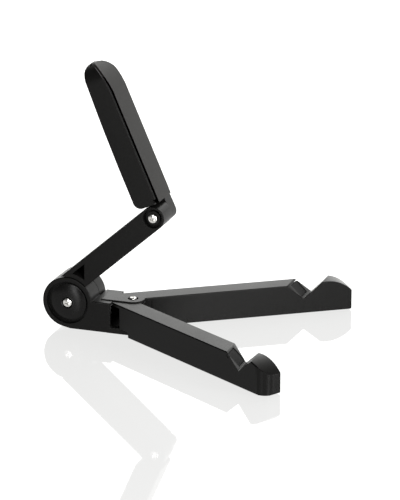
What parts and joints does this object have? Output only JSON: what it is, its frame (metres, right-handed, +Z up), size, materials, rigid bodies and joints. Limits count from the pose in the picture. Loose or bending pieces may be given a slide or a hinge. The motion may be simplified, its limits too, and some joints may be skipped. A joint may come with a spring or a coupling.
{
  "type": "tablet stand",
  "caption": "Fold-up tablet stand: legs that swing apart with a notch in each for the tablet's edge, and a hinged arm and paddle that prop its back.",
  "frame": {"origin": "middle of the base's foot, on the table", "axes": "+X towards the tablet, along the middle plane between the legs; +Y to the stand's left; +Z up"},
  "size_m": [0.1634, 0.1597, 0.1584],
  "materials": {
    "black_plastic": "satin black moulded plastic with a very fine grain",
    "cover_plastic": "satin black moulded plastic, a little duller and warmer",
    "rubber": "matte black rubber",
    "nylon": "natural nylon",
    "nickel": "bright nickel-plated steel"
  },
  "bodies": {
    "base": {"base_housing": "black_plastic", "base_foot": "rubber", "hub_cap": "black_plastic", "leg_screw": "nickel", "leg_nut": "nickel", "leg_washer_bottom": "nylon", "leg_washer_middle": "nylon", "leg_washer_top": "nylon"},
    "arm": {"arm_body": "black_plastic", "arm_cover": "cover_plastic", "arm_cover_screw_1": "nickel", "arm_cover_screw_2": "nickel", "hub_screw": "nickel", "hub_nut": "nickel", "hub_spring_washer": "nickel", "hub_friction_washer": "nylon"},
    "paddle": {"paddle_shell": "black_plastic", "paddle_cover": "cover_plastic", "paddle_screw_1": "nickel", "paddle_screw_2": "nickel", "knuckle_screw": "nickel", "knuckle_nut": "nickel", "knuckle_spring_washer": "nickel", "knuckle_friction_washer": "nylon"},
    "left_leg": {"left_leg": "black_plastic", "left_notch_pad": "rubber", "left_leg_foot": "rubber"},
    "right_leg": {"right_leg": "black_plastic", "right_notch_pad": "rubber", "right_leg_foot": "rubber"}
  },
  "joints": [
    {"name": "hub_pivot", "type": "hinge", "parent": "base", "child": "arm", "pos_m": [-0.01774, 0, 0.0161], "axis": [0, -1, 0], "range_deg": [-34, 68]},
    {"name": "knuckle_pivot", "type": "hinge", "parent": "arm", "child": "paddle", "pos_m": [0.03509, 0, 0.07254], "axis": [0, -1, 0], "range_deg": [-83.5, 16]},
    {"name": "left_leg_swing", "type": "hinge", "parent": "base", "child": "left_leg", "pos_m": [0.01851, 0, 0.0113], "axis": [0, 0, 1], "range_deg": [-33.5, 0]},
    {"name": "right_leg_swing", "type": "hinge", "parent": "base", "child": "right_leg", "pos_m": [0.01851, 0, 0.0113], "axis": [0, 0, -1], "range_deg": [-32.2, 1.3]}
  ]
}
